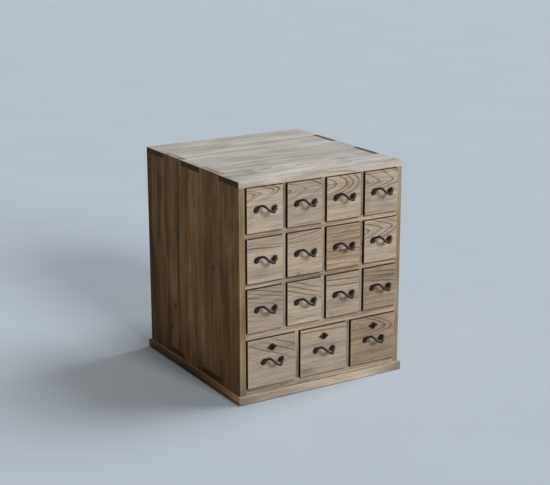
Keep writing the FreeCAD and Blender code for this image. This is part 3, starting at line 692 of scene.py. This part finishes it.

# %% [markdown]
# ## The sides
# The sides are upright boards, so their end grain shows in the fingers on the top, next to the long grain
# of the top board: that is the chequer along the chest's corners. The left side has gone deep brown, with
# broad dark streaks and knots, and a dark line of painted shade runs along its joint with the top, where
# the groove between the boards would be in shadow. Darker light alone would not give that brown, so the
# sides have a timber of their own.

# %% Left and right side
# Where, across the left side's thickness, the painted shade along its joint with the top fades in
JOINT_SHADE_REACH = (4.6, 5.8)
SIDE_TREE = {"lean": (0.03, 0.02), "spacing": 13, "taper": 0.12, "fade": 90}
SIDE_WEAR = {"streaky": 0.9, "banded": 1.6, "broad": 2.2, "hard": 0.5, "sheen": 0.05}
SIDE_STAINS = [
    (-140, 150, 150, 45, 0.25), (60, 196, 200, 12, 0.3), (110, -10, 110, 45, -0.3),
    (-100, -150, 120, 20, 0.25), (150, 140, 30, 9, 0.35), (0, 60, 220, 9, 0.3), (90, 155, 110, 10, 0.25),
    (-60, 110, 150, 6, 0.3), (20, -90, 190, 8, 0.25), (-130, 95, 40, 12, 0.35), (0, 195, 300, 50, 0.2),
    (-235, 0, 50, 300, 0.3), (20, -140, 40, 22, 0.3), (215, 0, 60, 400, 0.11), (-80, -95, 50, 3, -0.3),
    (60, -150, 200, 6, 0.25),
]
LEFT_TREE = {"seed": 3, "heart": (60, -3), "waver": 16, "ripple": 4}
LEFT_KNOTS = [(-110, 80, 7), (-165, 100, 6), (25, -97, 4)]
RIGHT_TREE = {"seed": 4, "heart": (-30, 3), "waver": 12, "ripple": 3}


def joint_shade_line(g, local, normal):
    """Painted shade along the joint between the left side's fingers and the top board, as seen from
    above.
    """
    above = g.ramp(g.split(normal)[2], *UPWARDS)
    return g.math("MULTIPLY", above, g.ramp(g.split(local)[0], *JOINT_SHADE_REACH))


# The left side's second tint is painted shade in the groove along its joint with the top.
dress_board(
    "left_side", "zyx", "side", {**SIDE_TREE, **LEFT_TREE, "knots": LEFT_KNOTS}, stains=SIDE_STAINS,
    end=(0.30, 0.25, 0.205), tints=[(facing_front, (0.66, 0.75, 0.88)), (joint_shade_line, (0.4, 0.33, 0.28))],
    **SIDE_WEAR,
)
dress_board(
    "right_side", "zyx", "side", {**SIDE_TREE, **RIGHT_TREE}, end=(0.10, 0.09, 0.085), tint=0.92,
    tints=[(facing_front, (0.82, 0.96, 1.2))], **{**SIDE_WEAR, "hard": 0.75, "broad": 1.6},
)

# %% [markdown]
# ## The back
# Three upright planks close the case behind. They are one node, but they were three boards, so the
# pattern starts anew in each of them. Their gap is too fine to show from a distance, so a dark line is
# drawn along each joint instead.

# %% The planks of the back
PLANKS = 3
PLANK_GAP = 0.3
BACK_PITCH = (2 * half_size("back_boards").x + PLANK_GAP) / PLANKS
JOINT_REACH, JOINT_DARK = 1.1, 0.4


def plank_joint(g, local, normal):
    """One along the joints between the planks of the back."""
    place_in_plank = g.math("FRACT", g.math("MULTIPLY_ADD", g.split(local)[0], 1 / BACK_PITCH, 0.5))
    from_middle = g.math("ABSOLUTE", g.math("SUBTRACT", place_in_plank, 0.5))
    return g.ramp(from_middle, 0.5 - JOINT_REACH / BACK_PITCH, 0.5 - JOINT_DARK / BACK_PITCH)


dress_board(
    "back_boards", "zxy", "side",
    {"seed": 5, "heart": (10, 5), "lean": (0.02, 0.02), "spacing": 9, "taper": 0.12},
    cells={"x": BACK_PITCH}, tints=[(plank_joint, (0.25, 0.2, 0.16))],
    **{**SIDE_WEAR, "hard": 0.8, "broad": 1.4},
)

# %% [markdown]
# ## The shelves, the bottom and the dividers
# Only the front edges of these boards show, as the pale frame round the drawers. They are streaky, and
# each row of drawers has a thin dark line of painted shadow on the board below it, where the proud fronts
# cast their shade. The line could be a strip of its own in front of the wood, but painted shadow has no
# thickness, so it is a mask that leaves out the feet of the dividers.

# %% Shelves, bottom and dividers
# The colour of the painted shadow below each row of drawers, and the heights where it fades in
PAINTED_SHADOW_BELOW = (0.52, 0.43, 0.36)
LINE_PALE, LINE_DARK = 6.0, 3.6
DIVIDER_REACH = (5.0, 6.0)
SHELF_WEAR = {"streaky": 1.6, "banded": 2.0}
SHELF_TREE = {"heart": (-180, -50), "spacing": 4, "taper": 0.03}
DIVIDER_WEAR = {**SHELF_WEAR, "streaky": 2.2, "tint": 0.87}
DIVIDER_TREE = {"heart": (0, 40), "spacing": 4, "taper": 0.1}
# Each shelf's seed, the row of drawers that it carries, and its tint
SHELVES = {"lower_shelf": (6, "c", 1.12), "middle_shelf": (7, "b", 1.0), "upper_shelf": (8, "a", 1.22)}


def drawer_shadow_mask(node, row):
    """Painted shadow: one along the top of a board's front edge, below each drawer of the row over it."""
    half = half_size(node).z
    drawers = sum(name.startswith(f"front_{row}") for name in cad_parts)
    pitch = apart(f"front_{row}1", f"front_{row}2", "x")

    def mask(g, local, normal):
        across, _, up = g.split(local)
        place_in_row = g.math("FRACT", g.math("MULTIPLY_ADD", across, 1 / pitch, drawers / 2))
        from_middle = g.math("ABSOLUTE", g.math("SUBTRACT", place_in_row, 0.5))
        to_divider = g.math("SUBTRACT", 0.5, from_middle)
        below = g.ramp(to_divider, *times(1 / pitch, DIVIDER_REACH))
        line = g.ramp(up, half - LINE_PALE, half - LINE_DARK)
        return g.math("MULTIPLY", g.math("MULTIPLY", below, line), facing_front(g, local, normal))

    return mask


for node, (seed, row, tint) in SHELVES.items():
    line = (drawer_shadow_mask(node, row), PAINTED_SHADOW_BELOW)
    dress_board(node, "xyz", "case", {**SHELF_TREE, "seed": seed}, tint=tint, tints=[line], **SHELF_WEAR)
dress_board(
    "bottom_board", "xyz", "case", {**SHELF_TREE, "seed": 2, "heart": (-180, -70)}, tint=1.08, sheen=0.05,
    end=(0.10, 0.05, 0.026), tints=[(drawer_shadow_mask("bottom_board", "d"), PAINTED_SHADOW_BELOW)], **SHELF_WEAR,
)
openings = {"x": apart("front_a1", "front_a2", "x"), "z": apart("front_a1", "front_b1", "z")}
upper_tree, lower_tree = {**DIVIDER_TREE, "seed": 9}, {**DIVIDER_TREE, "seed": 10}
dress_board("upper_dividers", "zyx", "case", upper_tree, cells=openings, **DIVIDER_WEAR)
dress_board("lower_dividers", "zyx", "case", lower_tree, **DIVIDER_WEAR)

# %% [markdown]
# ## The plinth
# Four mitred rails carry the case. They are one node whose front and back rails have their grain from
# side to side and whose side rails have it from front to back, so a mask lays the pattern crosswise on
# the side rails. The mitre is a line at forty-five degrees, which is where the distances from the two
# outer faces are equal. The rails are painted darkest where they meet the floor, as a contact shadow, and
# the side rails are painted darker than the front one, with more on their lower half, as the shade of
# faces turned away from the lamps.

# %% The plinth's rails
# Painted shade: a contact shadow along the floor, the side rails, and the lower half of the side rails
CONTACT_SHADOW_HEIGHTS, CONTACT_SHADOW_COLOUR = (0.8, 1.8), (0.35, 0.3, 0.26)
FOOT_HEIGHTS, FOOT_PAINTED_SHADE = (5.0, 11.0), (0.5, 0.46, 0.46)
SIDE_RAIL_PAINTED_SHADE = (0.76, 0.57, 0.40)


def near_bottom(g, local, reach):
    """One along the plinth's bottom, fading to zero between two heights in millimetres."""
    low, high = [height - half_size("plinth").z for height in reach]
    return g.ramp(g.split(local)[2], low, high, 1.0, 0.0)


def side_rails(g, local, normal=None):
    """One on the plinth's two side rails, and zero on its front and back rails, parted by the mitres."""
    from_side, from_front, _ = g.split(g.vector("ABSOLUTE", local))
    longer = half_size("plinth").y - half_size("plinth").x
    return g.math("GREATER_THAN", from_side, g.math("SUBTRACT", from_front, longer))


def contact_shadow_at_floor(g, local, normal):
    """One along the lowest millimetre of the plinth, where a contact shadow is painted."""
    return near_bottom(g, local, CONTACT_SHADOW_HEIGHTS)


def painted_shade_at_rail_feet(g, local, normal):
    """One on the lower half of the plinth's side rails, fading upwards, where shade is painted."""
    return g.math("MULTIPLY", side_rails(g, local), near_bottom(g, local, FOOT_HEIGHTS))


dress_board(
    "plinth", "xyz", "pale", {"seed": 11, "heart": (-190, -60), "spacing": 4, "taper": 0.02},
    turned=side_rails, tint=0.94,
    tints=[(side_rails, SIDE_RAIL_PAINTED_SHADE), (contact_shadow_at_floor, CONTACT_SHADOW_COLOUR), (painted_shade_at_rail_feet, FOOT_PAINTED_SHADE)],
)

# %% [markdown]
# ## The drawer fronts
# Each front is a slice of another plank, so each gets a tree of its own. Some were cut near the heart and
# show pointed arches, and the others were cut beside it and show lines that run straight or slope. The
# numbers place them: how high and how deep the heart lies, how it leans, how fast the tree tapers, how
# far the arches reach, and through which points of the face the darkest rings pass. A tree drawn at
# random would be quicker, but then no front would look like the one in its place.

# %% Fifteen fronts
ARCHED = {"waver": 1.6, "ripple": 1.1}
# Each front's timber, its tint and its tree
FRONTS = {
    "a1": ("pale", 0.97, {**ARCHED, "heart": (35, -4), "lean": (0.12, 0), "taper": 0.36, "fade": 38,
                          "bold": [(-12, 33), (21, 38), (34, 38), (-30, 36)]}),
    "a2": ("pale", 0.90, {**ARCHED, "heart": (30, -5), "lean": (0.05, 0), "taper": 0.42, "fade": 34,
                          "bold": [(3, 30), (44, 31), (-36, 30)]}),
    "a3": ("pale", 0.93, {**ARCHED, "heart": (31, 1), "lean": (-0.04, 0), "taper": 0.50, "fade": 26,
                          "bold": [(8, 31), (23, 30), (38, 29), (-20, 31)]}),
    "a4": ("pale", 0.89, {**ARCHED, "heart": (23, -5), "skew": -0.45, "taper": 0.38, "fade": 36,
                          "bold": [(-7, 23), (28, 22), (52, 22), (-36, 23)]}),
    "b1": ("pale", 0.87, {"heart": (-80, 30), "lean": (-0.05, 0), "taper": 0.02, "bold": [(-30, 28)]}),
    "b2": ("pale", 0.80, {"heart": (-90, 30), "lean": (0.16, 0), "bold": [(-20, 36)]}),
    "b3": ("lined", 1.03, {"heart": (-90, 30), "waver": 5,
                           "bold": [(0, height) for height in (42, 25, 14, 31, -6, -22, -36)]}),
    "b4": ("pale", 0.94, {**ARCHED, "heart": (26, -5), "lean": (0.06, 0), "taper": 0.42, "fade": 36,
                          "bold": [(0, 25), (30, 29), (-30, 24), (50, 29)]}),
    "c1": ("pale", 0.77, {"heart": (-90, 20), "lean": (-0.20, 0),
                          "bold": [(0, height) for height in (40, 31, 22, 13)]}),
    "c2": ("pale", 0.88, {"heart": (-90, 20), "lean": (-0.32, 0), "bold": [(0, 38), (0, 27), (0, 17)]}),
    "c3": ("pale", 0.78, {"heart": (-90, 60), "lean": (-0.06, 0), "spacing": 3.8,
                          "bold": [(0, 35), (0, 23)]}),
    "c4": ("brown", 0.92, {"heart": (-90, 30), "lean": (-0.10, 0), "bold": [(0, 37), (0, 28), (0, 16)]}),
    "d1": ("pale", 0.70, {"heart": (-90, 20), "lean": (-0.42, 0), "bold": [(0, 20), (0, 37), (0, 51)]}),
    "d2": ("pale", 0.82, {"heart": (-90, 30), "lean": (-0.03, 0), "spacing": 4.5, "bold": [(0, 44)]}),
    "d3": ("brown", 0.95, {**ARCHED, "heart": (30, 0), "lean": (-0.10, 0), "taper": 0.30, "fade": 30,
                           "bold": [(30, 30), (48, 28)]}),
}
FRONT_STAINS = {
    "a1": [(25, -43, 14, 5, 0.25)],
    "a4": [(-40, -30, 8, 20, 0.12), (20, -30, 26, 12, 0.12)],
    "b1": [(-15, -25, 30, 12, 0.15)],
    "b2": [(-17, -43, 4, 3, 0.4)],
    "b3": [(-12, -14, 22, 8, 0.15)],
    "c3": [(-30, -40, 3, 6, 0.3)],
    "c4": [(-3, 42, 7, 3, 0.35), (-10, 22, 50, 8, 0.15)],
    "d2": [(-50, -40, 26, 14, 0.25), (0, -50, 90, 5, 0.2)],
    "d3": [(0, -20, 60, 10, 0.15), (-20, 30, 26, 14, 0.1), (-50, -42, 30, 14, 0.15)],
}
FRONT_TREE = {"spacing": 5.4, "waver": 3.0, "ripple": 1.4, "weakest": 0.0, "strongest": 0.5}
FRONT_WEAR = {"hard": 1.0, "calm": 0.5, "streaky": 1.25, "rubbed": 0.2}
FIRST_FRONT_SEED = 21

# Each front's faces that don't look forwards, its sides, top and bottom, are painted darker as shade,
# since they sit in the dark gaps round the drawer.
for seed, (name, (timber, tint, tree)) in enumerate(FRONTS.items(), FIRST_FRONT_SEED):
    dress_board(
        f"front_{name}", "xzy", timber, {**FRONT_TREE, **tree, "seed": seed}, FRONT_ARRIS, tint=tint,
        stains=FRONT_STAINS.get(name, ()), tints=[(facing_aside, (0.30, 0.22, 0.15))], **FRONT_WEAR,
    )

# %% [markdown]
# ## The trays
# Behind each front hangs a box of plain raw boards that shows when the drawer is pulled out. Its sides
# have their grain from front to back, and its back board has it from side to side, which is the same
# trick as on the plinth. Nothing was ever spilt or polished here, so the trays need no stains.

# %% Fifteen trays
TRAY_TREE = {"heart": (0, 50), "taper": 0.05, "spacing": 4.0}
TRAY_BACK = 7.0
FIRST_TRAY_SEED = 41


def tray_back(g, local, normal=None):
    """One on a tray's back board, whose grain runs from side to side, and zero elsewhere."""
    return g.math("GREATER_THAN", g.split(local)[1], half_size("tray_a1").y - TRAY_BACK)


for seed, name in enumerate(FRONTS, FIRST_TRAY_SEED):
    tree = {**TRAY_TREE, "seed": seed}
    dress_board(f"tray_{name}", "yxz", "inside", tree, TRAY_ARRIS, turned=tray_back)

# %% [markdown]
# ## Forged iron
# The pulls and plates are blackened iron. Forging scale is matt and nearly black, the places that hands
# touch are rubbed to a grey gloss, and a little brown rust sits in the hollows. One even black would look
# like paint, so slow noise stands for the dents, fine noise for the grit, and both drive the colour, the
# gloss and the bumps. The plates are browner, and nearly black round their nail.

# %% The iron's finish
SCALE_COLOUR, RUBBED_COLOUR = (0.009, 0.0065, 0.0055), (0.027, 0.021, 0.0185)
RUST_COLOUR = (0.042, 0.02, 0.011)
PLATE_COLOUR, PLATE_RUST = (0.028, 0.019, 0.014), (0.085, 0.058, 0.042)
NAIL_COLOUR = (0.004, 0.003, 0.002)
NAIL_REACH = (2.6, 6.2)
# The size of a dent in millimetres, and the lumps of grit and rust in each millimetre
PULL_DENT, PLATE_DENT = 2.9, 2.0
GRIT, RUST = 2.2, 0.12
IRON_RELIEF = 0.0004
IRON_METALLIC = 0.1
IRON_ROUGHNESS = (0.4, 0.62)
PULL_SHEEN, PLATE_SHEEN = 0.27, 0.05


def forged_iron(name, dent_size, centre=None):
    """Blackened iron. A plate has a centre, where its nail and the hole round it are darker."""
    g = Graph(bpy.data.materials.new(name))
    place = g.vector("MULTIPLY", g.node("ShaderNodeTexCoord").outputs["Object"], (MILLIMETRES,) * 3)
    dents = g.noise(place, (1 / dent_size,) * 3)
    grit = g.noise(place, (GRIT,) * 3, 3.0, 0.6)
    rust = g.ramp(g.noise(place, (RUST,) * 3, 3.0, 0.6), 0.5, 0.72)
    colour = g.blend(g.ramp(dents, 0.35, 0.7), SCALE_COLOUR, RUBBED_COLOUR)
    colour = g.blend(g.math("MULTIPLY", rust, 0.5), colour, RUST_COLOUR)
    if centre:
        offset = g.vector("SUBTRACT", place, times(MILLIMETRES, centre))
        off_centre = g.vector("LENGTH", g.vector("MULTIPLY", offset, (1, 0, 1)))
        plate = g.blend(rust, PLATE_COLOUR, PLATE_RUST)
        colour = g.blend(g.ramp(off_centre, *NAIL_REACH), NAIL_COLOUR, plate)
    roughness = g.ramp(g.math("ADD", dents, g.math("MULTIPLY", grit, 0.4)), 0.4, 0.95, *IRON_ROUGHNESS)
    height = g.math("MULTIPLY_ADD", grit, 0.25, dents)
    sheen = PLATE_SHEEN if centre else PULL_SHEEN
    return g.finish(colour, roughness, height, IRON_RELIEF, metallic=IRON_METALLIC, specular=sheen)


iron = forged_iron("forged_iron", PULL_DENT)
print(iron.name, "has", len(iron.node_tree.nodes), "nodes")

# %% [markdown]
# ## An even skin for the pulls
# A smith draws a bar out, beats its ends into flat feet and bends it into a loop. The CAD pull has the
# true path and thickness, but its sections are perfectly round and its joins are sharp. Hammering needs
# many small even faces, and a voxel remesh lays them over any closed shape. A little smoothing then melts
# the joins together, as if they had been forged.

# %% A skin of small faces
SKIN_SIZE = 0.0005
JOIN_SMOOTHING, JOIN_PASSES = 0.5, 8


def even_skin(node):
    """A new mesh over a CAD node, of small even faces whose joins are smoothed."""
    mesh = bpy.data.meshes.new("bare_pull")
    shell = bmesh.new()
    shell.from_mesh(node.data)
    bmesh.ops.remove_doubles(shell, verts=shell.verts, dist=SAME_POINT)
    shell.to_mesh(mesh)
    shell.free()
    piece = bpy.data.objects.new("bare_pull", mesh)
    scene.collection.objects.link(piece)
    remesh = piece.modifiers.new("even_skin", "REMESH")
    remesh.mode = "VOXEL"
    remesh.voxel_size = SKIN_SIZE
    smooth = piece.modifiers.new("forged_joins", "SMOOTH")
    smooth.factor = JOIN_SMOOTHING
    smooth.iterations = JOIN_PASSES
    settled = bpy.context.evaluated_depsgraph_get()
    skin = bpy.data.meshes.new_from_object(piece.evaluated_get(settled))
    bpy.data.objects.remove(piece)
    bpy.data.meshes.remove(mesh)
    return skin


print("The skin's faces are", MILLIMETRES * SKIN_SIZE, "millimetres wide")

# %% [markdown]
# ## The pulls
# Each point of the skin is pushed in a little by slow noise, different for each pull, as hammer blows
# would do. Where the bar stands clear of the drawer it is drawn out slimmer, and its grip is twisted: its
# left end higher than its right one, as the bars in the photograph hang. Sculpting fifteen bars by hand
# would look the same and take a day, and a function does it for all of them.

# %% Forge the fifteen pulls
FRONT_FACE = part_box("front_a1")[0].y
# A blow's depth is a middle value plus broad and fine noise
BLOWS_PER_METRE = 140
FINER_BLOWS = 2.3
MIDDLE_BLOW, BROAD_BLOW, FINE_BLOW = 0.5, 0.35, 0.15
HAMMER_DEPTH = 0.0004
SLIMMER = 0.00028
FEET_DEPTH, NECK_LENGTH = 0.008, 0.006
TWIST, SWAY = 0.0026, 0.0011
HALF_GRIP = 0.005


def hammer(point, middle):
    """Move one point of a pull as the forging would. Middle is where the pull's middle lies along x."""
    spot = point.co * BLOWS_PER_METRE
    dent = MIDDLE_BLOW + BROAD_BLOW * noise.noise(spot) + FINE_BLOW * noise.noise(spot * FINER_BLOWS)
    stretched = min(max((FRONT_FACE - point.co.y - FEET_DEPTH) / NECK_LENGTH, 0.0), 1.0)
    point.co -= point.normal * (dent * HAMMER_DEPTH + stretched * SLIMMER)
    turn = math.tanh((point.co.x - middle) / HALF_GRIP)
    point.co += Vector((SWAY * (1 + turn), 0, -TWIST * turn)) * stretched


def forged_pull(name):
    """A hammered copy of a CAD pull, as a piece of its own."""
    skin = even_skin(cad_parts[f"pull_{name}"])
    skin.name = f"forged_pull_{name}"
    low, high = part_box(f"pull_{name}")
    hot = bmesh.new()
    hot.from_mesh(skin)
    for point in hot.verts:
        hammer(point, (low.x + high.x) / 2)
    for flat in hot.faces:
        flat.smooth = True
    hot.to_mesh(skin)
    hot.free()
    skin.materials.clear()
    skin.materials.append(iron)
    piece = bpy.data.objects.new(skin.name, skin)
    scene.collection.objects.link(piece)
    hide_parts(f"pull_{name}")
    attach(piece, f"drawer_{name}")
    return piece


pulls = [forged_pull(name) for name in FRONTS]
print(len(pulls), "pulls, with", sum(len(pull.data.vertices) for pull in pulls), "points")

# %% [markdown]
# ## Plates and nails
# The three wide drawers carry a small lozenge plate held by one nail, and the back is nailed to the case.
# They could be hammered like the pulls, but at their size the CAD shapes are already right, so they only
# need iron and a softer edge.

# %% Plates and nails
dress("back_nails", iron, IRON_ARRIS)
plates = ("plate_d1", "plate_d2", "plate_d3")
for node in plates:
    low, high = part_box(node)
    dress(node, forged_iron(f"{node}_iron", PLATE_DENT, (low + high) / 2), IRON_ARRIS)
print(len(plates), "plates and the nails of the back are iron")

# %% [markdown]
# ## Measure and finish
# The modifiers and the hammering could make the dressed chest larger than the box that the CAD model
# fills. Measuring by eye would miss a tenth of a millimetre, so the dressed chest is measured and its
# size printed.

# %% Sizes
low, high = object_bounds()
print("Dressed, it measures", [round(b - a, 4) for a, b in zip(low, high)], "metres")
